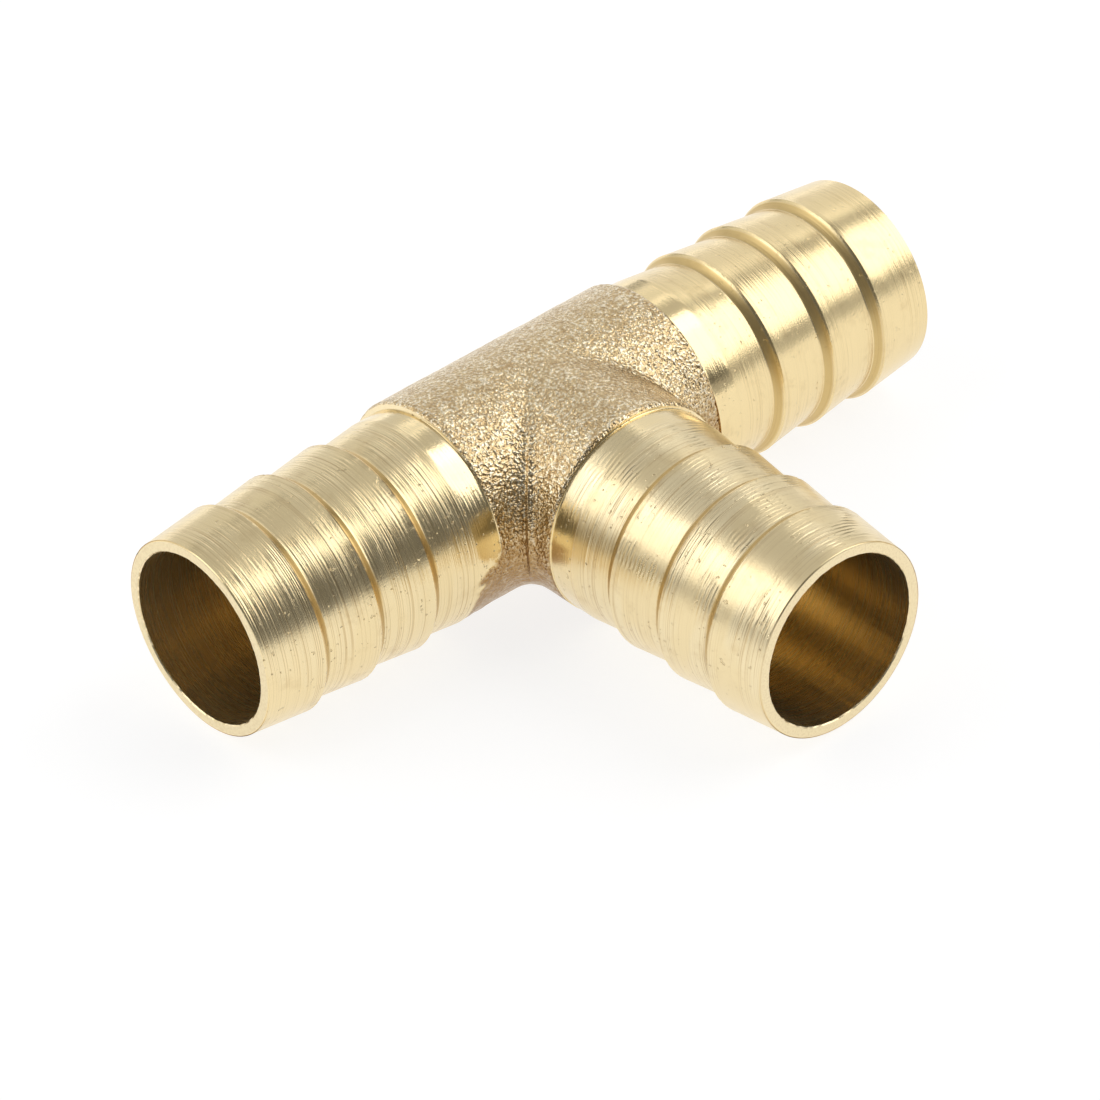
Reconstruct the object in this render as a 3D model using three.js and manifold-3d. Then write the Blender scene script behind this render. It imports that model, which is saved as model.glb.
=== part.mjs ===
// A three-way hose-barb tee in brass: a forged body with three machined, barbed tails.
// Millimetres, +Z up. The run lies along X, the branch points towards -Y, and the tee
// lies on its barb crests with its origin under the middle of its box.
import * as THREE from "three";
import { mergeVertices } from "three/addons/utils/BufferGeometryUtils.js";
import Module from "manifold-3d";

const wasm = await Module();
wasm.setup();

// ---- Driving dimensions ----
const RUN_ARM_LENGTH = 39.1; // from the crossing of the axes to a mouth of the run
const BRANCH_ARM_LENGTH = 38.8; // from the crossing of the axes to the branch mouth
const BORE_DIAMETER = 16.5; // one clear bore through the run and the branch
const TAIL_WALL = 1.1; // from the bore to the root between two barbs
const BARB_RISE = 0.65; // from the root to the crest of a barb
const BARB_PITCH = 6.2; // from crest to crest
const FIRST_CREST = 6; // from the mouth to the first crest
const STEP_LENGTH = 1.4; // the hollow retaining step behind a crest
const NECK_RISE = 0.5; // from the root to the smooth neck band
const NECK_RUN_UP = 3.9; // the slope from the last root up to the neck band
const NECK_LENGTH = 2.3; // the shortest neck band in front of the shoulder
const MOUTH_EDGE = 0.15; // broken outer edge of the mouth
const SHOULDER_RISE = 0.3; // from the neck band to the skin of the forging
const RUN_STAND_OFF = 2.8; // from the side of the branch to a shoulder of the run
const BRANCH_STAND_OFF = 2.5; // from the side of the run to the branch shoulder
const CROTCH_FILLET = 2.5; // hollow corner between the run and the branch
const FORGING_SHIFT = { x: 0, y: 0.3, z: 0.32 }; // the forging sits off the turned axes
const SIDES = 48; // facets round every turned surface
const STEP_FACETS = 3; // facets along a retaining step
const FILLET_FACETS = 4; // facets along a crotch fillet

// ---- Sizes that follow ----
const BORE_RADIUS = BORE_DIAMETER / 2;
const ROOT_RADIUS = BORE_RADIUS + TAIL_WALL;
const CREST_RADIUS = ROOT_RADIUS + BARB_RISE;
const NECK_RADIUS = ROOT_RADIUS + NECK_RISE;
const FORGING_RADIUS = NECK_RADIUS + SHOULDER_RISE;
const RUN_SHOULDER = FORGING_RADIUS + RUN_STAND_OFF; // crossing to the shoulders
const BRANCH_SHOULDER = FORGING_RADIUS + BRANCH_STAND_OFF;
const FILLET_RADIUS = Math.min(CROTCH_FILLET, RUN_STAND_OFF, BRANCH_STAND_OFF);
const AXIS_HEIGHT = Math.max(CREST_RADIUS, FORGING_RADIUS - FORGING_SHIFT.z);
const BACK = Math.max(CREST_RADIUS, FORGING_RADIUS + FORGING_SHIFT.y);
const RUN_Y = (BRANCH_ARM_LENGTH - BACK) / 2; // puts the origin under the middle of the box
const QUARTER = Math.PI / 2;
const THROUGH = 1; // how far a cutting tool runs past what it cuts

const turnedBrass = { color: 0xd8c180, roughness: 0.28, metalness: 1 };
const forgedBrass = { color: 0xb59c70, roughness: 0.55, metalness: 1 };

// As many barbs as a tail of this length has room for in front of its neck.
function barbCount(tailLength) {
  const lastCrest = tailLength - NECK_LENGTH - NECK_RUN_UP - STEP_LENGTH;
  return 1 + Math.max(0, Math.floor((lastCrest - FIRST_CREST) / BARB_PITCH));
}

// The turned outline of a tail, as points of radius and distance from the crossing.
function tailOutline(armLength, shoulder) {
  const outline = [];
  const point = (radius, fromMouth) =>
    outline.push(new THREE.Vector2(radius, armLength - fromMouth));
  const tailLength = armLength - shoulder;
  point(BORE_RADIUS, 0);
  point(BORE_RADIUS, tailLength);
  point(NECK_RADIUS, tailLength);
  const barbs = barbCount(tailLength);
  const lastRoot = FIRST_CREST + (barbs - 1) * BARB_PITCH + STEP_LENGTH;
  point(NECK_RADIUS, lastRoot + NECK_RUN_UP);
  for (let barb = barbs - 1; barb >= 0; barb--) {
    const root = FIRST_CREST + barb * BARB_PITCH + STEP_LENGTH;
    for (let i = STEP_FACETS; i >= 0; i--) {
      const turn = (QUARTER * i) / STEP_FACETS;
      const radius = CREST_RADIUS - BARB_RISE * Math.sin(turn);
      point(radius, root - STEP_LENGTH * Math.cos(turn));
    }
  }
  point(ROOT_RADIUS, MOUTH_EDGE);
  point(ROOT_RADIUS - MOUTH_EDGE, 0);
  point(BORE_RADIUS, 0);
  return outline;
}

// A tail stands along its own +Y; the turn about Z points it along its arm.
function tail(name, armLength, shoulder, turn) {
  const geometry = new THREE.LatheGeometry(tailOutline(armLength, shoulder), SIDES);
  const mesh = new THREE.Mesh(geometry, new THREE.MeshStandardMaterial(turnedBrass));
  mesh.name = name;
  mesh.rotation.z = turn;
  return mesh;
}

// The hollow corner between the run and the branch, from the run round to the branch.
function crotchCorner(side, halfWidth) {
  const fillet = (FILLET_RADIUS * halfWidth) / FORGING_RADIUS;
  const reach = halfWidth + fillet;
  const points = [];
  for (let i = 0; i <= FILLET_FACETS; i++) {
    const turn = (QUARTER * i) / FILLET_FACETS;
    const x = side * (reach - fillet * Math.sin(turn));
    const y = fillet * Math.cos(turn) - reach;
    points.push([FORGING_SHIFT.x + x, FORGING_SHIFT.y + y]);
  }
  return points;
}

// The tee-shaped outline of the forging at the height where its arms are this wide.
function forgingLevel(halfWidth) {
  const { x, y } = FORGING_SHIFT;
  return [
    [RUN_SHOULDER, y - halfWidth],
    [RUN_SHOULDER, y + halfWidth],
    [x, y + halfWidth],
    [-RUN_SHOULDER, y + halfWidth],
    [-RUN_SHOULDER, y - halfWidth],
    ...crotchCorner(-1, halfWidth),
    [x - halfWidth, -BRANCH_SHOULDER],
    [x + halfWidth, -BRANCH_SHOULDER],
    ...crotchCorner(1, halfWidth).reverse(),
  ];
}

// The forging's skin: tee-shaped levels stacked from its underside to its top.
function forgingSkin() {
  const positions = [];
  const index = [];
  const levels = SIDES / 2;
  let count = 0;
  for (let level = 0; level <= levels; level++) {
    const rise = Math.PI * (level / levels) - QUARTER;
    const ended = level === 0 || level === levels;
    const halfWidth = ended ? 0 : FORGING_RADIUS * Math.cos(rise);
    const height = FORGING_SHIFT.z + FORGING_RADIUS * Math.sin(rise);
    const outline = forgingLevel(halfWidth);
    count = outline.length;
    outline.forEach(([x, y]) => positions.push(x, y, height));
  }
  for (let level = 0; level < levels; level++) {
    for (let i = 0; i < count; i++) {
      const here = level * count + i;
      const next = level * count + ((i + 1) % count);
      index.push(here, next, next + count, here, next + count, here + count);
    }
  }
  const geometry = new THREE.BufferGeometry();
  geometry.setAttribute("position", new THREE.Float32BufferAttribute(positions, 3));
  geometry.setIndex(index);
  return geometry;
}

// A closed geometry as a solid that can be joined and cut.
function solidOf(geometry) {
  const bare = geometry.index ? geometry.toNonIndexed() : geometry.clone();
  bare.deleteAttribute("normal");
  bare.deleteAttribute("uv");
  const merged = mergeVertices(bare, 1e-4);
  return new wasm.Manifold(
    new wasm.Mesh({
      numProp: 3,
      vertProperties: merged.attributes.position.array,
      triVerts: new Uint32Array(merged.index.array),
    }),
  );
}

function geometryOf(solid) {
  const mesh = solid.getMesh();
  const positions = new Float32Array(mesh.numVert * 3);
  for (let i = 0; i < mesh.numVert; i++) {
    const start = i * mesh.numProp;
    positions.set(mesh.vertProperties.subarray(start, start + 3), i * 3);
  }
  const geometry = new THREE.BufferGeometry();
  geometry.setAttribute("position", new THREE.BufferAttribute(positions, 3));
  geometry.setIndex(new THREE.BufferAttribute(mesh.triVerts, 1));
  geometry.computeVertexNormals();
  return geometry;
}

// A drill as wide as the bore, from one point of its axis to another along +Y.
function drill(from, to) {
  const bit = new THREE.CylinderGeometry(BORE_RADIUS, BORE_RADIUS, to - from, SIDES);
  return bit.translate(0, (from + to) / 2, 0);
}

// The forging with its three machined shoulder faces and its bores.
function teeBody() {
  const runReach = RUN_SHOULDER + THROUGH;
  const runBore = drill(-runReach, runReach).rotateZ(QUARTER);
  const branchBore = drill(-BRANCH_SHOULDER - THROUGH, 0);
  const bored = solidOf(forgingSkin())
    .subtract(solidOf(runBore))
    .subtract(solidOf(branchBore));
  const material = new THREE.MeshStandardMaterial(forgedBrass);
  const mesh = new THREE.Mesh(geometryOf(bored), material);
  mesh.name = "tee_body";
  return mesh;
}

const tee = new THREE.Group();
tee.position.set(0, RUN_Y, AXIS_HEIGHT);
tee.add(teeBody());
tee.add(tail("run_tail_left", RUN_ARM_LENGTH, RUN_SHOULDER, QUARTER));
tee.add(tail("run_tail_right", RUN_ARM_LENGTH, RUN_SHOULDER, -QUARTER));
tee.add(tail("branch_tail", BRANCH_ARM_LENGTH, BRANCH_SHOULDER, 2 * QUARTER));

export default tee;
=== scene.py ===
"""A brass three-way hose-barb tee: a forged body and three turned, barbed tails.

Metres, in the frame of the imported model. The run lies along X, the branch points towards -Y.
"""

import math

import bmesh
import bpy
from mathutils import Matrix, Vector, noise


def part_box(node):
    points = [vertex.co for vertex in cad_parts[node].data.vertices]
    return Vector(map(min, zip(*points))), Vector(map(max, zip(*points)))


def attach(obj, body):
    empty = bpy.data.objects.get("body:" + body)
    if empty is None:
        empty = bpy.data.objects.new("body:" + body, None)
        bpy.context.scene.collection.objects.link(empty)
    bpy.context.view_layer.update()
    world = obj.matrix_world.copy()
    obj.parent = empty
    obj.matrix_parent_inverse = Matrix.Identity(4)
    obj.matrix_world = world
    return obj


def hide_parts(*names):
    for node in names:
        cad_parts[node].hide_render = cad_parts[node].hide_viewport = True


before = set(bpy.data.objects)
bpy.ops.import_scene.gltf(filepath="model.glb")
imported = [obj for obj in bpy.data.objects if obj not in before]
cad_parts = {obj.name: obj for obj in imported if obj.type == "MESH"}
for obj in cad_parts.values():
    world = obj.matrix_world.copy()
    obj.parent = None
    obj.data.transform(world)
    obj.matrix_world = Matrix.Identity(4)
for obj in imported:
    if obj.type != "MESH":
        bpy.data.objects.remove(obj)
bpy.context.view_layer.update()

MM = 0.001
MERGE = 0.001 * MM
FINE_MERGE = 0.0001 * MM
FULL_TURN = 2 * math.pi
QUARTER = math.pi / 2

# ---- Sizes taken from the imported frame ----
left_low, left_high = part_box("run_tail_left")
branch_low, branch_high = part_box("branch_tail")
RUN_MOUTH = -left_low.x
RUN_SHOULDER = -left_high.x
BRANCH_MOUTH = branch_low.y
BRANCH_SHOULDER = branch_high.y
AXIS_Y = (left_low.y + left_high.y) / 2
AXIS_Z = (left_low.z + left_high.z) / 2
TAIL_LENGTH = RUN_MOUTH - RUN_SHOULDER
CREST_RADIUS = (left_high.z - left_low.z) / 2

# ---- Turned outline of a tail ----
BARBS = 3
BORE_RADIUS = 8.25 * MM
ROOT_RADIUS = 9.35 * MM
NECK_RADIUS = 9.85 * MM
FIRST_CREST = 6 * MM
BARB_PITCH = 6.2 * MM
STEP_LENGTH = 0.9 * MM
STEP_STEEP = 52
STEP_SHALLOW = 22
STEP_ROWS = 8
NECK_START = 23.7 * MM
NECK_EASE_LENGTH = 0.05 * MM
NECK_EASE_DEPTH = 0.007 * MM
NECK_ROWS = 12
CREST_ROUND = 0.16 * MM
CONE_ROWS = 9
FIRST_ROW_SHARE = 0.15
MOUTH_ROUND = 0.24 * MM
MOUTH_ROWS = 6
FLARE_ROWS = 8
BORE_ROWS = 8
BORE_BREAK = 0.1 * MM
BURR_HEIGHT = 0.05 * MM
NICK_DEPTH = 0.1 * MM
FLARE = 0.08 * MM
LATHE_STEPS = 360

# ---- Forged skin ----
SKIN_RADIUS = 10.15 * MM
SKIN_SHIFT_Y = 0.3 * MM
SKIN_SHIFT_Z = 0.32 * MM
VOXEL = 0.18 * MM
SKIN_SMOOTHING = 30
EDGE_ROUND = 0.32 * MM
SHARPEST_EDGE = 0.08 * MM
CREASE_DEPTH = 0.42 * MM
CREASE_WIDTH = 0.55 * MM
STUB = 1.5 * MM
RAW_REACH = 2.6 * MM
RAW_DRAFT = 0.03

# ---- Camera and stage ----
CAMERA_AZIMUTH = -39.871
CAMERA_ELEVATION = 36.98
CAMERA_ROLL = math.radians(-2.865)
CAMERA_DISTANCE = 586.632 * MM
CAMERA_SLIDE = 0.9662 * MM
CAMERA_LIFT = -8.8986 * MM
LENS = 215.856
STAGE_RADIUS = 3.9
LAMP_DISTANCE = 1.2


# ---- Helpers for modelling ----
def deselect_all():
    bpy.ops.object.select_all(action="DESELECT")


def work_on(piece):
    deselect_all()
    piece.select_set(True)
    bpy.context.view_layer.objects.active = piece


def edit_mode():
    bpy.ops.object.mode_set(mode="EDIT")


def object_mode():
    bpy.ops.object.mode_set(mode="OBJECT")


def select_faces(piece, wanted):
    """Selects, in edit mode, the faces for which wanted(centre, normal) is true."""
    bpy.ops.mesh.select_mode(type="FACE")
    bpy.ops.mesh.select_all(action="DESELECT")
    shape = bmesh.from_edit_mesh(piece.data)
    for face in shape.faces:
        face.select_set(wanted(face.calc_center_median(), face.normal))
    bmesh.update_edit_mesh(piece.data)


def select_points(piece, wanted):
    """Selects, in edit mode, the vertices for which wanted(position) is true."""
    bpy.ops.mesh.select_mode(type="VERT")
    bpy.ops.mesh.select_all(action="DESELECT")
    shape = bmesh.from_edit_mesh(piece.data)
    for point in shape.verts:
        point.select_set(wanted(point.co))
    shape.select_flush(True)
    bmesh.update_edit_mesh(piece.data)


def tidy_mesh(merge_distance):
    """Merges doubles and points the faces outwards, in edit mode."""
    bpy.ops.mesh.select_all(action="SELECT")
    bpy.ops.mesh.remove_doubles(threshold=merge_distance)
    bpy.ops.mesh.normals_make_consistent(inside=False)


def add_modifier(piece, kind, **settings):
    work_on(piece)
    modifier = piece.modifiers.new(kind, kind)
    for setting, value in settings.items():
        setattr(modifier, setting, value)
    bpy.ops.object.modifier_apply(modifier=modifier.name)


def move_points(piece, moved):
    """Puts each vertex where moved(position) says."""
    for point in piece.data.vertices:
        point.co = moved(point.co.copy())
    piece.data.update()


# ---- Turned tails ----
def arc(centre_x, centre_r, radius, start, end, pieces):
    """Points (x, r) along an arc, its angles in degrees from +X towards +R."""
    points = []
    for i in range(pieces + 1):
        angle = math.radians(start + (end - start) * i / pieces)
        x = centre_x + radius * math.cos(angle)
        points.append((x, centre_r + radius * math.sin(angle)))
    return points


def retaining_step(crest):
    """The hollow face from a crest down to the next root, which it meets at a corner."""
    rise = CREST_RADIUS - ROOT_RADIUS
    steep, shallow = math.radians(STEP_STEEP), math.radians(STEP_SHALLOW)
    reach = math.sin(steep) - math.sin(shallow)
    drop = math.cos(shallow) - math.cos(steep)
    points = []
    for i in range(1, STEP_ROWS + 1):
        angle = steep + (shallow - steep) * i / STEP_ROWS
        x = crest + STEP_LENGTH * (math.sin(steep) - math.sin(angle)) / reach
        points.append((x, CREST_RADIUS - rise * (math.cos(angle) - math.cos(steep)) / drop))
    return points


def cone(start, end, rows):
    """A straight turned slope between two points (x, radius), its end left out."""
    points = []
    for i in range(rows):
        share = (i + FIRST_ROW_SHARE) / rows
        x = start[0] + (end[0] - start[0]) * share
        points.append((x, start[1] + (end[1] - start[1]) * share))
    return points


def barb(crest, root):
    """The slope of a barb up to its slightly blunt crest."""
    slope = (CREST_RADIUS - ROOT_RADIUS) / (crest - root)
    top = crest - CREST_ROUND
    outline = cone((root, ROOT_RADIUS), (top, CREST_RADIUS - CREST_ROUND * slope), CONE_ROWS)
    outline.append((top, CREST_RADIUS - CREST_ROUND * slope))
    outline.append((crest - 0.4 * CREST_ROUND, CREST_RADIUS))
    outline.append((crest, CREST_RADIUS - 0.25 * CREST_ROUND))
    return outline


def tail_outline():
    """The closed section of a tail as (distance from the mouth, radius)."""
    outline = []
    for i in range(BORE_ROWS):
        outline.append((TAIL_LENGTH * (BORE_ROWS - i) / BORE_ROWS, BORE_RADIUS))
    outline += [(BORE_BREAK, BORE_RADIUS), (0.0, BORE_RADIUS + BORE_BREAK)]
    outline.append((0.0, ROOT_RADIUS - 2.2 * MOUTH_ROUND))
    outline += arc(MOUTH_ROUND, ROOT_RADIUS - MOUTH_ROUND, MOUTH_ROUND, 180, 95, MOUTH_ROWS)
    root = 0.0
    for number in range(BARBS):
        crest = FIRST_CREST + number * BARB_PITCH
        outline += barb(crest, root)
        outline += retaining_step(crest)
        root = crest + STEP_LENGTH
    flare_start = TAIL_LENGTH - FLARE
    outline += cone((root, ROOT_RADIUS), (NECK_START, NECK_RADIUS), CONE_ROWS)
    outline.append((NECK_START - NECK_EASE_LENGTH, NECK_RADIUS - NECK_EASE_DEPTH))
    for i in range(NECK_ROWS):
        outline.append((NECK_START + (flare_start - NECK_START) * i / NECK_ROWS, NECK_RADIUS))
    outline += arc(flare_start, NECK_RADIUS + FLARE, FLARE, 270, 350, FLARE_ROWS)
    outline.append((TAIL_LENGTH, NECK_RADIUS + FLARE * 0.95))
    return outline


def turn_on_lathe(name, outline):
    """Spins a closed outline (x, radius) round the X axis into a solid."""
    deselect_all()
    x, radius = outline[0]
    bpy.ops.mesh.primitive_plane_add(size=MM, location=(x, 0, radius))
    piece = bpy.context.object
    piece.name = name
    bpy.ops.object.transform_apply(location=True, rotation=True, scale=True)
    edit_mode()
    bpy.ops.mesh.select_mode(type="VERT")
    bpy.ops.mesh.merge(type="CENTER")
    for next_x, next_radius in outline[1:]:
        step = (next_x - x, 0, next_radius - radius)
        bpy.ops.mesh.extrude_vertices_move(TRANSFORM_OT_translate={"value": step})
        x, radius = next_x, next_radius
    ends = [Vector((end_x, 0, end_radius)) for end_x, end_radius in (outline[0], outline[-1])]
    select_points(piece, lambda co: min((co - end).length for end in ends) < MERGE)
    bpy.ops.mesh.edge_face_add()
    bpy.ops.mesh.select_all(action="SELECT")
    bpy.ops.mesh.spin(steps=LATHE_STEPS, angle=FULL_TURN, center=(0, 0, 0), axis=(1, 0, 0))
    tidy_mesh(MERGE)
    object_mode()
    return piece


def copy_to_arm(model, name, turn, mouth):
    """A copy of the tail with its own mesh, turned about Z and put at its mouth."""
    piece = bpy.data.objects.new(name, model.data.copy())
    bpy.context.scene.collection.objects.link(piece)
    work_on(piece)
    piece.rotation_euler.z = turn
    piece.location = mouth
    bpy.ops.object.transform_apply(location=True, rotation=True, scale=True)
    return piece


# ---- Forged body ----
def skin_reach(point):
    """How far a point is outside the forged skin of the arm it belongs to (run, branch)."""
    up = point.z - AXIS_Z - SKIN_SHIFT_Z
    run = math.hypot(point.y - AXIS_Y - SKIN_SHIFT_Y, up) - SKIN_RADIUS
    branch = math.hypot(point.x, up) - SKIN_RADIUS
    return run, branch


def forging_blank():
    """The forged skin as one solid without bores, its arms a little too long."""
    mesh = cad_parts["tee_body"].data.copy()
    mesh.materials.clear()
    piece = bpy.data.objects.new("forged_tee_body", mesh)
    bpy.context.scene.collection.objects.link(piece)
    work_on(piece)
    edit_mode()
    tidy_mesh(MERGE)
    inner = SKIN_RADIUS - 1.1 * MM
    square_on = 0.999

    def bored_or_faced(centre, normal):
        up = centre.z - AXIS_Z
        in_run = math.hypot(centre.y - AXIS_Y, up) < inner
        in_branch = math.hypot(centre.x, up) < inner and centre.y < AXIS_Y
        faced = max(abs(normal.x), -normal.y) > square_on
        at_end = abs(centre.x) > RUN_SHOULDER - MERGE or centre.y < BRANCH_SHOULDER + MERGE
        return in_run or in_branch or faced and at_end

    select_faces(piece, bored_or_faced)
    bpy.ops.mesh.delete(type="FACE")
    ends = [
        (lambda co: co.x < -RUN_SHOULDER + MERGE, (-STUB, 0, 0)),
        (lambda co: co.x > RUN_SHOULDER - MERGE, (STUB, 0, 0)),
        (lambda co: co.y < BRANCH_SHOULDER + MERGE, (0, -STUB, 0)),
    ]
    for at_end, push in ends:
        select_points(piece, at_end)
        bpy.ops.mesh.extrude_region_move(TRANSFORM_OT_translate={"value": push})
        bpy.ops.mesh.edge_face_add()
    tidy_mesh(FINE_MERGE)
    object_mode()
    return piece


def run_branch_seam(point):
    """Signed distance from the slanting plane where run and branch skins meet."""
    return (abs(point.x) - (AXIS_Y + SKIN_SHIFT_Y - point.y)) / math.sqrt(2)


def bump_profile(distance, middle, width):
    return math.exp(-(((distance - middle) / width) ** 2))


def unevenness(point, size, depth):
    """Smooth random hills of this size and height, both in millimetres."""
    return noise.noise(point / (size * MM)) * depth * MM


def weathered_skin(point):
    """How far the forging's skin stands out: its unevenness and the sharp seam of its crotches."""
    run, branch = skin_reach(point)
    uneven = unevenness(point, 3.5, 0.05)
    grain = unevenness(point, 0.75, 0.018)
    fine = unevenness(point, 0.38, 0.014)
    from_edge = max(0.0, min(RUN_SHOULDER - abs(point.x), point.y - BRANCH_SHOULDER))
    ragged = unevenness(point, 0.45, 0.07) * math.exp(-from_edge / (0.4 * MM))
    seam = run_branch_seam(point)
    height = point.z - AXIS_Z
    fade = max(0.0, 1 - ((height - 2.0 * MM) / (7 * MM)) ** 2)
    in_crotch = fade if run > -0.4 * MM and branch > -0.4 * MM else 0.0
    ridge = bump_profile(seam, -0.27 * MM, 0.2 * MM) * 0.33 * MM
    crease = math.exp(-abs(seam - 0.05 * MM) / CREASE_WIDTH) * CREASE_DEPTH
    return uneven + grain + fine + ragged + in_crotch * (ridge - crease) - 0.035 * MM


def break_edges(point):
    """Rounds the skin in towards a shoulder plane, the more the further it stands out there."""
    centre_y, centre_z = AXIS_Y + SKIN_SHIFT_Y, AXIS_Z + SKIN_SHIFT_Z
    height = point.z - AXIS_Z
    run_stand_out = math.hypot(point.y - AXIS_Y, height) - NECK_RADIUS
    branch_stand_out = math.hypot(point.x, height) - NECK_RADIUS
    for along_run, inside, stand_out in (
        (True, RUN_SHOULDER - abs(point.x), run_stand_out),
        (False, point.y - BRANCH_SHOULDER, branch_stand_out),
    ):
        rounding = min(EDGE_ROUND, max(SHARPEST_EDGE, 0.6 * stand_out))
        if inside < rounding:
            depth = rounding - max(0.0, inside)
            draw = rounding - math.sqrt(rounding**2 - depth**2)
            share = 1 - draw / SKIN_RADIUS
            if along_run:
                point.y = centre_y + (point.y - centre_y) * share
            else:
                point.x *= share
            point.z = centre_z + (point.z - centre_z) * share
    return point


def cut_flat(piece, at, outwards):
    work_on(piece)
    edit_mode()
    bpy.ops.mesh.select_all(action="SELECT")
    bpy.ops.mesh.bisect(
        plane_co=at, plane_no=outwards, use_fill=True, clear_outer=True, threshold=FINE_MERGE
    )
    object_mode()


def bore_out(piece, name, start, end):
    """Drills a round bore from one point to another."""
    start, end = Vector(start), Vector(end)
    along = end - start
    deselect_all()
    bpy.ops.mesh.primitive_cylinder_add(
        vertices=192, radius=BORE_RADIUS, depth=along.length, location=(start + end) / 2
    )
    drill = bpy.context.object
    drill.name = name
    drill.rotation_mode = "QUATERNION"
    drill.rotation_quaternion = along.to_track_quat("Z", "Y")
    bpy.context.view_layer.update()
    add_modifier(piece, "BOOLEAN", operation="DIFFERENCE", object=drill, solver="EXACT")
    bpy.data.objects.remove(drill)


def forged_body():
    piece = forging_blank()
    add_modifier(piece, "REMESH", mode="VOXEL", voxel_size=VOXEL, use_smooth_shade=True)
    add_modifier(piece, "SMOOTH", factor=0.5, iterations=SKIN_SMOOTHING)
    near_seam = 0.9 * MM
    near_skin = 0.5 * MM
    below_crown = 9 * MM
    work_on(piece)
    edit_mode()

    def in_crotch(centre, _normal):
        near_both_arms = min(skin_reach(centre)) > -near_skin
        at_height = abs(centre.z - AXIS_Z) < below_crown
        return near_both_arms and at_height and abs(run_branch_seam(centre)) < near_seam

    select_faces(piece, in_crotch)
    bpy.ops.mesh.subdivide(number_cuts=1, smoothness=0)
    object_mode()
    normals = [point.normal.copy() for point in piece.data.vertices]
    for point, normal in zip(piece.data.vertices, normals):
        point.co += normal * weathered_skin(point.co)
    move_points(piece, break_edges)
    cut_flat(piece, (-RUN_SHOULDER, 0, 0), (-1, 0, 0))
    cut_flat(piece, (RUN_SHOULDER, 0, 0), (1, 0, 0))
    cut_flat(piece, (0, BRANCH_SHOULDER, 0), (0, -1, 0))
    reach = RUN_SHOULDER + MM
    bore_out(piece, "run_drill", (-reach, AXIS_Y, AXIS_Z), (reach, AXIS_Y, AXIS_Z))
    bore_out(piece, "branch_drill", (0, BRANCH_SHOULDER - MM, AXIS_Z), (0, AXIS_Y, AXIS_Z))
    return piece


# ---- Shader formulas ----
class Amount:
    """A number that varies over a surface, so that formulas read as plain Python."""

    def __init__(self, finish, socket):
        self.finish = finish
        self.socket = socket

    def maths(self, operation, *values):
        return self.finish.node("ShaderNodeMath", {"operation": operation}, dict(enumerate(values)))

    def __add__(self, other):
        return self.maths("ADD", self, other)

    __radd__ = __add__

    def __mul__(self, other):
        return self.maths("MULTIPLY", self, other)

    __rmul__ = __mul__

    def __sub__(self, other):
        return self.maths("SUBTRACT", self, other)

    def __rsub__(self, other):
        return self.maths("SUBTRACT", other, self)

    def __mod__(self, other):
        return self.maths("FLOORED_MODULO", self, other)

    def above(self, level):
        return self.maths("GREATER_THAN", self, level)

    def wave(self):
        return self.maths("SINE", self)

    def within(self, low, high, new_low=0.0, new_high=1.0):
        """Maps low..high smoothly on to new_low..new_high and holds it there."""
        ranged = {"interpolation_type": "SMOOTHSTEP", "clamp": True}
        return self.finish.node("ShaderNodeMapRange", ranged, {
            "Value": self, "From Min": low, "From Max": high, "To Min": new_low, "To Max": new_high,
        })


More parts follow.
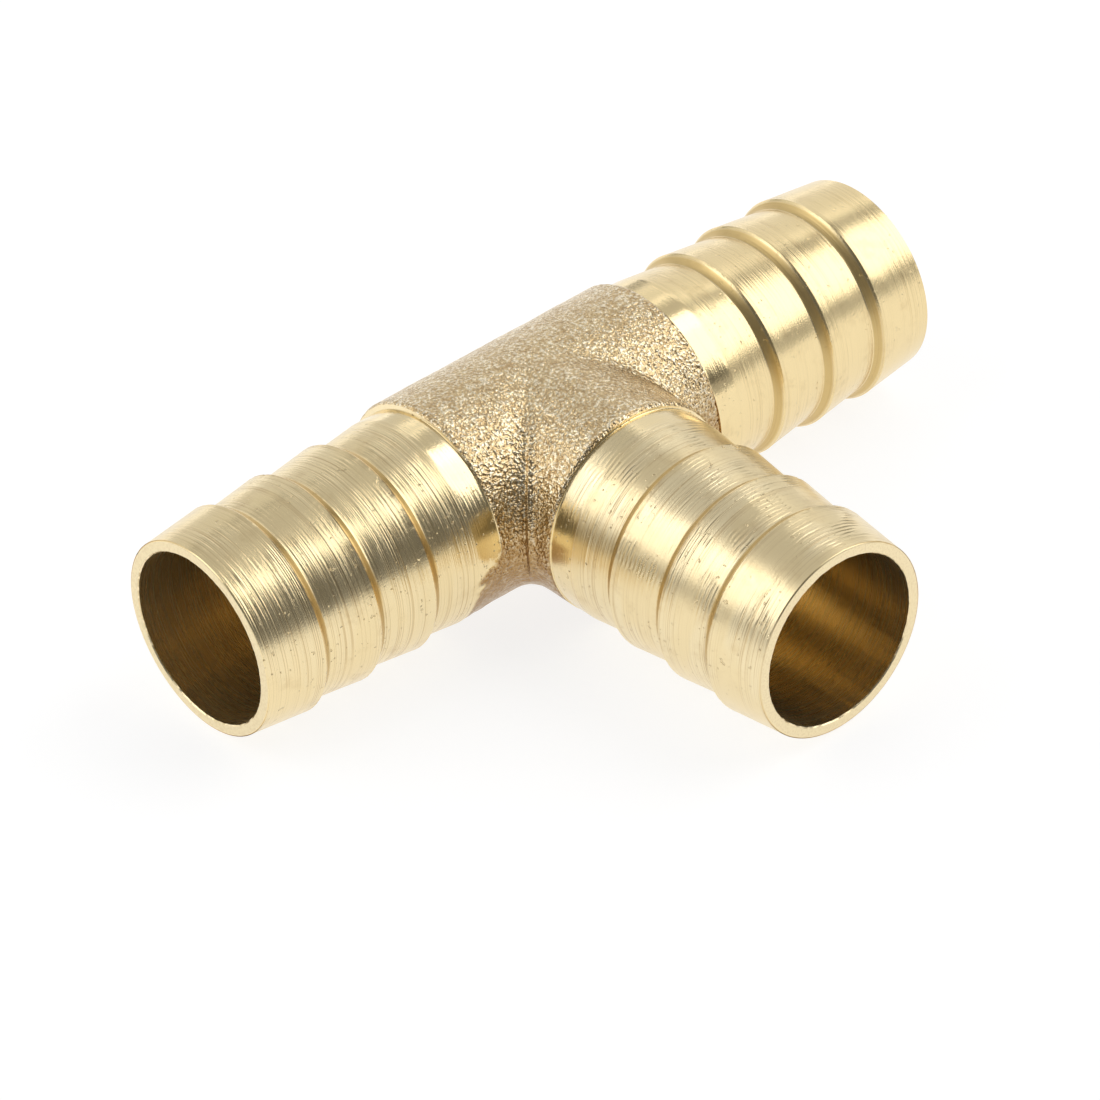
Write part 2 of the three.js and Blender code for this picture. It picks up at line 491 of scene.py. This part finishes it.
class Finish:
    """One material, built node by node."""

    def __init__(self, name):
        self.material = bpy.data.materials.new(name)
        self.material.use_nodes = True
        self.tree = self.material.node_tree
        self.tree.nodes.clear()

    def node(self, kind, settings, inputs, output=0):
        """Adds a node, its settings first and then its sockets, and gives an output of it."""
        made = self.tree.nodes.new(kind)
        for setting, value in settings.items():
            setattr(made, setting, value)
        for key, value in inputs.items():
            socket = self.socket(made.inputs, key)
            if isinstance(value, Amount):
                self.tree.links.new(value.socket, socket)
            else:
                socket.default_value = value
        return Amount(self, self.socket(made.outputs, output)) if made.outputs else None

    @staticmethod
    def socket(sockets, key):
        if isinstance(key, int):
            return sockets[key]
        return next(s for s in sockets if key in (s.identifier, s.name))

    def place(self, centre, turn=0.0):
        """Object coordinates in millimetres, turned about Z, with their zero at centre."""
        here = self.node("ShaderNodeTexCoord", {}, {}, "Object")
        flip = Matrix.Rotation(turn, 3, "Z")
        offset = -(flip @ Vector(centre)) / MM
        return self.node("ShaderNodeMapping", {"vector_type": "POINT"}, {
            "Vector": here, "Location": offset, "Rotation": (0, 0, turn), "Scale": (1 / MM,) * 3,
        })

    def stretch(self, vector, scale):
        return self.node("ShaderNodeVectorMath", {"operation": "MULTIPLY"}, {0: vector, 1: scale})

    def noise(self, vector, scale, detail=2.0, roughness=0.5):
        return self.node("ShaderNodeTexNoise", {"noise_dimensions": "3D"}, {
            "Vector": vector, "Scale": scale, "Detail": detail, "Roughness": roughness,
        })

    def cells(self, vector, scale):
        return self.node("ShaderNodeTexVoronoi", {"feature": "F1"}, {
            "Vector": vector, "Scale": scale,
        }, "Distance")

    def blend(self, factor, first, second):
        return self.node("ShaderNodeMix", {"data_type": "RGBA"}, {
            "Factor_Float": factor, "A_Color": first, "B_Color": second,
        }, "Result_Color")

    def axes(self, vector):
        parts = self.node("ShaderNodeSeparateXYZ", {}, {"Vector": vector})
        sockets = parts.socket.node.outputs
        return [Amount(self, socket) for socket in sockets]

    def surface(self, colour, roughness, height):
        """Ends the material: a metal with this colour, roughness and relief in millimetres."""
        relief = self.node("ShaderNodeBump", {}, {
            "Height": height, "Distance": MM, "Strength": 1.0,
        })
        metal = self.node("ShaderNodeBsdfPrincipled", {}, {
            "Base Color": colour, "Metallic": 1.0, "Roughness": roughness, "Normal": relief,
        })
        self.node("ShaderNodeOutputMaterial", {}, {"Surface": metal})
        return self.material


# ---- Finishes ----
# How strongly each tail shows its rings, tool chatter, nicks and paler brass
LEFT_LOOK = {"streaks": 0.85, "chatter": 0.15, "wear": 1.0, "pale": 0.6}
RIGHT_LOOK = {"streaks": 0.45, "chatter": 0.0, "wear": 0.3, "pale": 0.0}
BRANCH_LOOK = {"streaks": 0.85, "chatter": 1.0, "wear": 0.8, "pale": 1.0}
RAW_SKIN = "raw_skin"
AROUND = 0.035
GRAIN_PER_MM = 3.4
CLEAN_BRASS = (0.87, 0.70, 0.39, 1)
PALE_BRASS = (0.9, 0.76, 0.48, 1)
# Darker, deeper gold: painted shade and painted reflection for the step hollows behind the crests
HOLLOW_SHADE_BRASS = (0.6, 0.42, 0.15, 1)
# Paler than the outside brass: painted light for the bore, standing in for light bounced between
# its walls
BOUNCE_LIT_BORE_BRASS = (0.96, 0.8, 0.5, 1)
BROWN_BRASS = (0.46, 0.29, 0.11, 1)
FORGED_TONE = (0.76, 0.59, 0.335, 1)
# Near-white brass for painted glints on the forging's grain
PAINTED_GLINT_BRASS = (1.0, 0.89, 0.66, 1)
# Dark brown: the oxide scale in the forging's hollows, and also painted shade low down on the
# crotch side
DARK_SCALE_AND_SHADE = (0.4, 0.24, 0.09, 1)


def forged_look(finish, here):
    """Colour, roughness and relief of the blasted forging skin, with scale in its hollows, painted
    shade low down on the crotch side and painted glints on the grain.
    """
    _along, side, up = finish.axes(here)
    grain = finish.noise(here, GRAIN_PER_MM, 1.5, 0.55)
    crystals = finish.cells(here, 3.4)
    coarse = finish.noise(here, 0.9, 2.0)
    height = grain * 0.165 - crystals * 0.05 + coarse * 0.08
    dull = finish.noise(here, 0.9, 4.0, 0.7).within(0.35, 0.65, 0.0, 0.3)
    hollow = grain.within(0.36, 0.5, 0.3, 0.0)
    branch_side = side.within(-10.0, 3.0, 1.0, 0.25)
    # Painted shade: darker and browner low down on the crotch side, where the arms shade the skin
    shaded = up.within(-3.0, 7.5, 0.75, 0.0) * branch_side
    # Painted glints: the tops of the grain get a paler, near-white brass that stands in for
    # highlights
    grain_with_painted_glints = finish.blend(grain.within(0.5, 0.62), FORGED_TONE, PAINTED_GLINT_BRASS)
    colour = finish.blend(dull + hollow + shaded, grain_with_painted_glints, DARK_SCALE_AND_SHADE)
    roughness = finish.noise(here, 3.5, 1.0).within(0.35, 0.65, 0.15, 0.27)
    return colour, roughness, height


def in_step_hollows(along):
    """One in the hollow behind each crest, where brass reflects brass, and zero elsewhere."""
    past_crest = (along - FIRST_CREST / MM) % (BARB_PITCH / MM)
    step_end = STEP_LENGTH / MM
    in_step = past_crest.within(0.05, 0.3) * past_crest.within(step_end - 0.12, step_end, 1.0, 0.0)
    return in_step * along.above(0.5 * FIRST_CREST / MM) * (1 - along.above(NECK_START / MM))


def turned_look(finish, here, streaks, chatter, wear, pale):
    """Colour, roughness and relief of a turned tail, here in mm from its mouth along X."""
    along, _side, up = finish.axes(here)
    fine_rings = finish.noise(finish.stretch(here, (9.0, AROUND, AROUND)), 1.0, 0.0)
    rings = finish.noise(finish.stretch(here, (4.2, AROUND, AROUND)), 1.0, 1.0, 0.6)
    wide_rings = finish.noise(finish.stretch(here, (1.3, AROUND, AROUND)), 1.0, 1.0, 0.5)
    patchy = finish.noise(finish.stretch(here, (0.3, 0.14, 0.14)), 1.0, 2.0, 0.5)
    neck = along.within(NECK_START / MM - 0.3, NECK_START / MM + 0.1)
    plain = 1 - neck * 0.6
    shown = patchy.within(0.36, 0.62, 0.25, 1.0) * plain * streaks
    lines = (fine_rings * 0.032 + rings * 0.035 + wide_rings * 0.014) * shown
    # Painted shade: the turning grooves are drawn as darker lines in the colour
    groove_shade = fine_rings.within(0.28, 0.45, 0.5, 0.0) * shown
    waves = (along * 15.0 + finish.noise(here, 0.3) * 9.0).wave()
    chattering = finish.noise(here, 0.28, 1.0).within(0.46, 0.58) * up.within(2.0, 6.0)
    ripples = waves * chattering * (0.014 * chatter) * plain
    pits = finish.noise(here, 2.4, 1.0).within(0.68, 0.76)
    dents = pits * finish.noise(here, 0.3).within(0.44, 0.54) * wear
    height = lines + ripples - dents * 0.08 + finish.noise(here, 6.0, 1.0) * 0.006
    in_hollow = in_step_hollows(along)
    metal = finish.blend(patchy.within(0.4, 0.6, 0.5 * pale, pale), CLEAN_BRASS, PALE_BRASS)
    # Painted shade and painted reflection: the step hollows get a darker, deeper gold that stands
    # in for brass reflecting brass there
    hollow_shaded = finish.blend(in_hollow * 0.7, metal, HOLLOW_SHADE_BRASS)
    tarnish = finish.noise(here, 0.45, 4.0, 0.6).within(0.5, 0.75, 0.0, 0.2)
    colour = finish.blend(tarnish + dents * 0.25 + groove_shade, hollow_shaded, BROWN_BRASS)
    roughness = 0.2 + 0.05 * chatter + patchy * 0.09 - neck * 0.09 + in_hollow * 0.17
    return colour, roughness, height


def turned_brass(name, mouth, turn, **look):
    """Lathe-turned brass, with the forging's skin where the piece is marked as raw."""
    finish = Finish(name)
    here = finish.place(mouth, turn)
    colour, roughness, height = turned_look(finish, here, **look)
    raw = finish.node("ShaderNodeAttribute", {"attribute_name": RAW_SKIN}, {}, "Fac")
    raw_colour, raw_roughness, raw_height = forged_look(finish, here)
    return finish.surface(
        finish.blend(raw, colour, raw_colour),
        roughness + (raw_roughness - roughness) * raw,
        height + (raw_height - height) * raw,
    )


def bored_brass(name, mouth, turn):
    """The reamed bore: close circular lines and a few lengthwise scratches."""
    finish = Finish(name)
    here = finish.place(mouth, turn)
    rings = finish.noise(finish.stretch(here, (5.0, 0.05, 0.05)), 1.0, 3.0, 0.6)
    scratches = finish.noise(finish.stretch(here, (0.5, 4.0, 4.0)), 1.0, 2.0, 0.6)
    height = rings * 0.012 + scratches.within(0.66, 0.72) * 0.004
    stain = finish.noise(here, 0.3, 3.0).within(0.45, 0.7, 0.0, 0.06)
    # Painted light: the bore's brass is paler, standing in for light bounced between its brass
    # walls
    colour = finish.blend(stain + rings.within(0.45, 0.7, 0.0, 0.05), BOUNCE_LIT_BORE_BRASS, BROWN_BRASS)
    return finish.surface(colour, 0.23 + rings * 0.08, height)


def faced_brass(name):
    """The flat rim of a mouth, cut square to its arm."""
    finish = Finish(name)
    here = finish.place((0, AXIS_Y, AXIS_Z))
    grain = finish.noise(here, 5.0, 3.0)
    height = grain * 0.008
    colour = finish.blend(grain.within(0.4, 0.7, 0.0, 0.2), PALE_BRASS, BROWN_BRASS)
    return finish.surface(colour, 0.3 + grain * 0.1, height)


def forged_brass(name):
    """The forging's own skin."""
    finish = Finish(name)
    here = finish.place((0, AXIS_Y, AXIS_Z))
    return finish.surface(*forged_look(finish, here))


def assign_by_place(piece, finishes, choose):
    """Gives the piece its materials, and each face the one whose number choose(centre) gives."""
    for finish in finishes:
        piece.data.materials.append(finish)
    for face in piece.data.polygons:
        face.material_index = choose(face.center)
        face.use_smooth = True


# ---- Camera, lamps and floor ----
def direction(azimuth, elevation):
    """Unit vector from the tee, azimuth in degrees from -Y towards +X."""
    a, e = math.radians(azimuth), math.radians(elevation)
    return Vector((math.sin(a) * math.cos(e), -math.cos(a) * math.cos(e), math.sin(e)))


def make_camera():
    back = direction(CAMERA_AZIMUTH, CAMERA_ELEVATION)
    level = direction(CAMERA_AZIMUTH + 90, 0)
    upright = back.cross(level)
    right = math.cos(CAMERA_ROLL) * level + math.sin(CAMERA_ROLL) * upright
    up = math.cos(CAMERA_ROLL) * upright - math.sin(CAMERA_ROLL) * level
    crossing = Vector((0, AXIS_Y, AXIS_Z))
    data = bpy.data.cameras.new("camera")
    data.sensor_width = 36
    data.lens = LENS
    data.clip_start = 0.01
    data.clip_end = 20
    camera = bpy.data.objects.new("camera", data)
    bpy.context.scene.collection.objects.link(camera)
    camera.rotation_mode = "QUATERNION"
    turned = Matrix((right, up, back)).transposed()
    camera.rotation_quaternion = turned.to_quaternion()
    camera.location = crossing + CAMERA_DISTANCE * back + CAMERA_SLIDE * right + CAMERA_LIFT * up
    bpy.context.scene.camera = camera


def softbox(name, azimuth, elevation, wide, tall, radiance):
    """A rectangular lamp that spans wide by tall degrees as seen from the tee."""
    data = bpy.data.lights.new(name, "AREA")
    data.shape = "RECTANGLE"
    data.size = 2 * LAMP_DISTANCE * math.tan(math.radians(wide / 2))
    data.size_y = 2 * LAMP_DISTANCE * math.tan(math.radians(tall / 2))
    data.energy = radiance * math.pi * data.size * data.size_y
    lamp = bpy.data.objects.new(name, data)
    bpy.context.scene.collection.objects.link(lamp)
    outwards = direction(azimuth, elevation)
    lamp.location = Vector((0, AXIS_Y, AXIS_Z)) + outwards * LAMP_DISTANCE
    lamp.rotation_mode = "QUATERNION"
    lamp.rotation_quaternion = outwards.to_track_quat("Z", "Y")
    lamp.visible_camera = False


def make_lamps():
    softbox("key_softbox", 62, 44, 45, 51, 1.9)
    softbox("left_softbox", -115, 40, 34, 40, 1.5)
    softbox("left_back_panel", -153, 23, 40, 54, 0.7)
    softbox("right_back_panel", 129, 20, 30, 52, 0.72)
    softbox("back_panel", 164, 18, 36, 46, 0.58)
    softbox("high_back_panel", 165, 69, 84, 50, 0.42)
    softbox("low_right_card", 49, 6, 42, 15, 0.33)
    softbox("low_left_card", -118, 10, 34, 20, 0.4)
    world = bpy.data.worlds.new("dim_studio")
    world.use_nodes = True
    world.node_tree.nodes["Background"].inputs["Color"].default_value = (0.14, 0.14, 0.14, 1)
    bpy.context.scene.world = world


def make_floor():
    """A pale floor whose far rim curves up out of sight."""
    deselect_all()
    bpy.ops.mesh.primitive_circle_add(vertices=128, radius=STAGE_RADIUS * 0.9)
    floor = bpy.context.object
    floor.name = "studio_floor"
    edit_mode()
    bpy.ops.mesh.select_mode(type="EDGE")
    bpy.ops.mesh.select_all(action="SELECT")
    for grow, rise in ((1.06, 0.02), (1.035, 0.07), (1.01, 0.1)):
        bpy.ops.mesh.extrude_region_move(TRANSFORM_OT_translate={"value": (0, 0, rise)})
        bpy.ops.transform.resize(value=(grow, grow, 1), center_override=(0, 0, 0))
    select_points(floor, lambda co: co.z < MM)
    bpy.ops.mesh.edge_face_add()
    tidy_mesh(MERGE)
    object_mode()
    paint = Finish("pale_floor")
    sheen = paint.node("ShaderNodeBsdfPrincipled", {}, {
        "Base Color": (0.26, 0.26, 0.26, 1), "Roughness": 0.9,
        "Emission Color": (1, 1, 1, 1), "Emission Strength": 0.82,
    })
    paint.node("ShaderNodeOutputMaterial", {}, {"Surface": sheen})
    floor.data.materials.append(paint.material)


# ---- Making the tee ----
def make_body():
    body = forged_body()
    skin = forged_brass("forged_skin")
    bore = bored_brass("body_bore", (-RUN_MOUTH, AXIS_Y, AXIS_Z), 0.0)

    def choose(centre):
        up = centre.z - AXIS_Z
        near = BORE_RADIUS + 0.05 * MM
        in_run = math.hypot(centre.y - AXIS_Y, up) < near
        in_branch = math.hypot(centre.x, up) < near and centre.y < AXIS_Y
        return 1 if in_run or in_branch else 0

    assign_by_place(body, [skin, bore], choose)
    work_on(body)
    bpy.ops.object.shade_smooth_by_angle(angle=math.radians(50))
    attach(body, "root")
    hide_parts("tee_body")


def keep_raw_skin(piece):
    """Trims and marks a run neck where the forging was too small to clean up."""
    raw = piece.data.attributes.new(RAW_SKIN, "FLOAT", "POINT")
    for number, point in enumerate(piece.data.vertices):
        beyond = abs(point.co.x) - RUN_SHOULDER
        if beyond > RAW_REACH:
            continue
        centre = Vector((point.co.x, AXIS_Y + SKIN_SHIFT_Y, AXIS_Z + SKIN_SHIFT_Z))
        away = point.co - centre
        allowed = SKIN_RADIUS - 0.02 * MM + RAW_DRAFT * beyond + unevenness(point.co, 0.8, 0.05)
        excess = away.length - allowed
        if excess > 0:
            point.co = centre + away * (allowed / away.length)
        raw.data[number].value = min(1.0, max(0.0, (excess + 0.01 * MM) / (0.03 * MM)))
    piece.data.update()


def wear_edges(piece, start, inwards, wear):
    """Nicks the crests and raises a faint, uneven burr on the bore's edge."""
    for point in piece.data.vertices:
        from_mouth = point.co - start
        distance = from_mouth.dot(inwards)
        away = from_mouth - inwards * distance
        radius = away.length
        roughly = noise.noise(point.co / (0.5 * MM)) + 0.5 * noise.noise(point.co / (0.2 * MM))
        shift = 0.0
        if radius > CREST_RADIUS - 0.04 * MM:
            shift = -max(0.0, roughly - 0.25) * wear * NICK_DEPTH
        elif distance < BORE_BREAK + MERGE and radius < BORE_RADIUS + 1.5 * BORE_BREAK:
            shift = roughly * BURR_HEIGHT
        point.co += away * (shift / radius)
    piece.data.update()


def make_tail(model, rim, node, name, mouth, turn, look):
    """The finished tail of one arm, turned about Z from +X and starting at its mouth."""
    piece = copy_to_arm(model, name, turn, mouth)
    start = Vector(mouth)
    inwards = Vector((math.cos(turn), math.sin(turn), 0))
    if node == "run_tail_left":
        keep_raw_skin(piece)
    wear_edges(piece, start, inwards, look["wear"])
    turned = turned_brass(name + "_turned", mouth, -turn, **look)
    bored = bored_brass(name + "_bore", mouth, -turn)

    def choose(centre):
        from_mouth = centre - start
        distance = from_mouth.dot(inwards)
        radius = (from_mouth - inwards * distance).length
        if radius < BORE_RADIUS + 0.5 * BORE_BREAK:
            return 1
        return 2 if distance < 0.02 * MM else 0

    assign_by_place(piece, [turned, bored, rim], choose)
    work_on(piece)
    bpy.ops.object.shade_smooth_by_angle(angle=math.radians(30))
    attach(piece, "root")
    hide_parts(node)


def make_tails():
    model = turn_on_lathe("tail_model", tail_outline())
    rim = faced_brass("mouth_rims")
    left_mouth = (-RUN_MOUTH, AXIS_Y, AXIS_Z)
    right_mouth = (RUN_MOUTH, AXIS_Y, AXIS_Z)
    branch_mouth = (0, BRANCH_MOUTH, AXIS_Z)
    make_tail(model, rim, "run_tail_left", "left_barbed_tail", left_mouth, 0.0, LEFT_LOOK)
    make_tail(model, rim, "run_tail_right", "right_barbed_tail", right_mouth, math.pi, RIGHT_LOOK)
    make_tail(model, rim, "branch_tail", "branch_barbed_tail", branch_mouth, QUARTER, BRANCH_LOOK)
    bpy.data.objects.remove(model)


make_camera()
make_lamps()
make_floor()
make_body()
make_tails()
bpy.context.scene.view_settings.view_transform = "Standard"
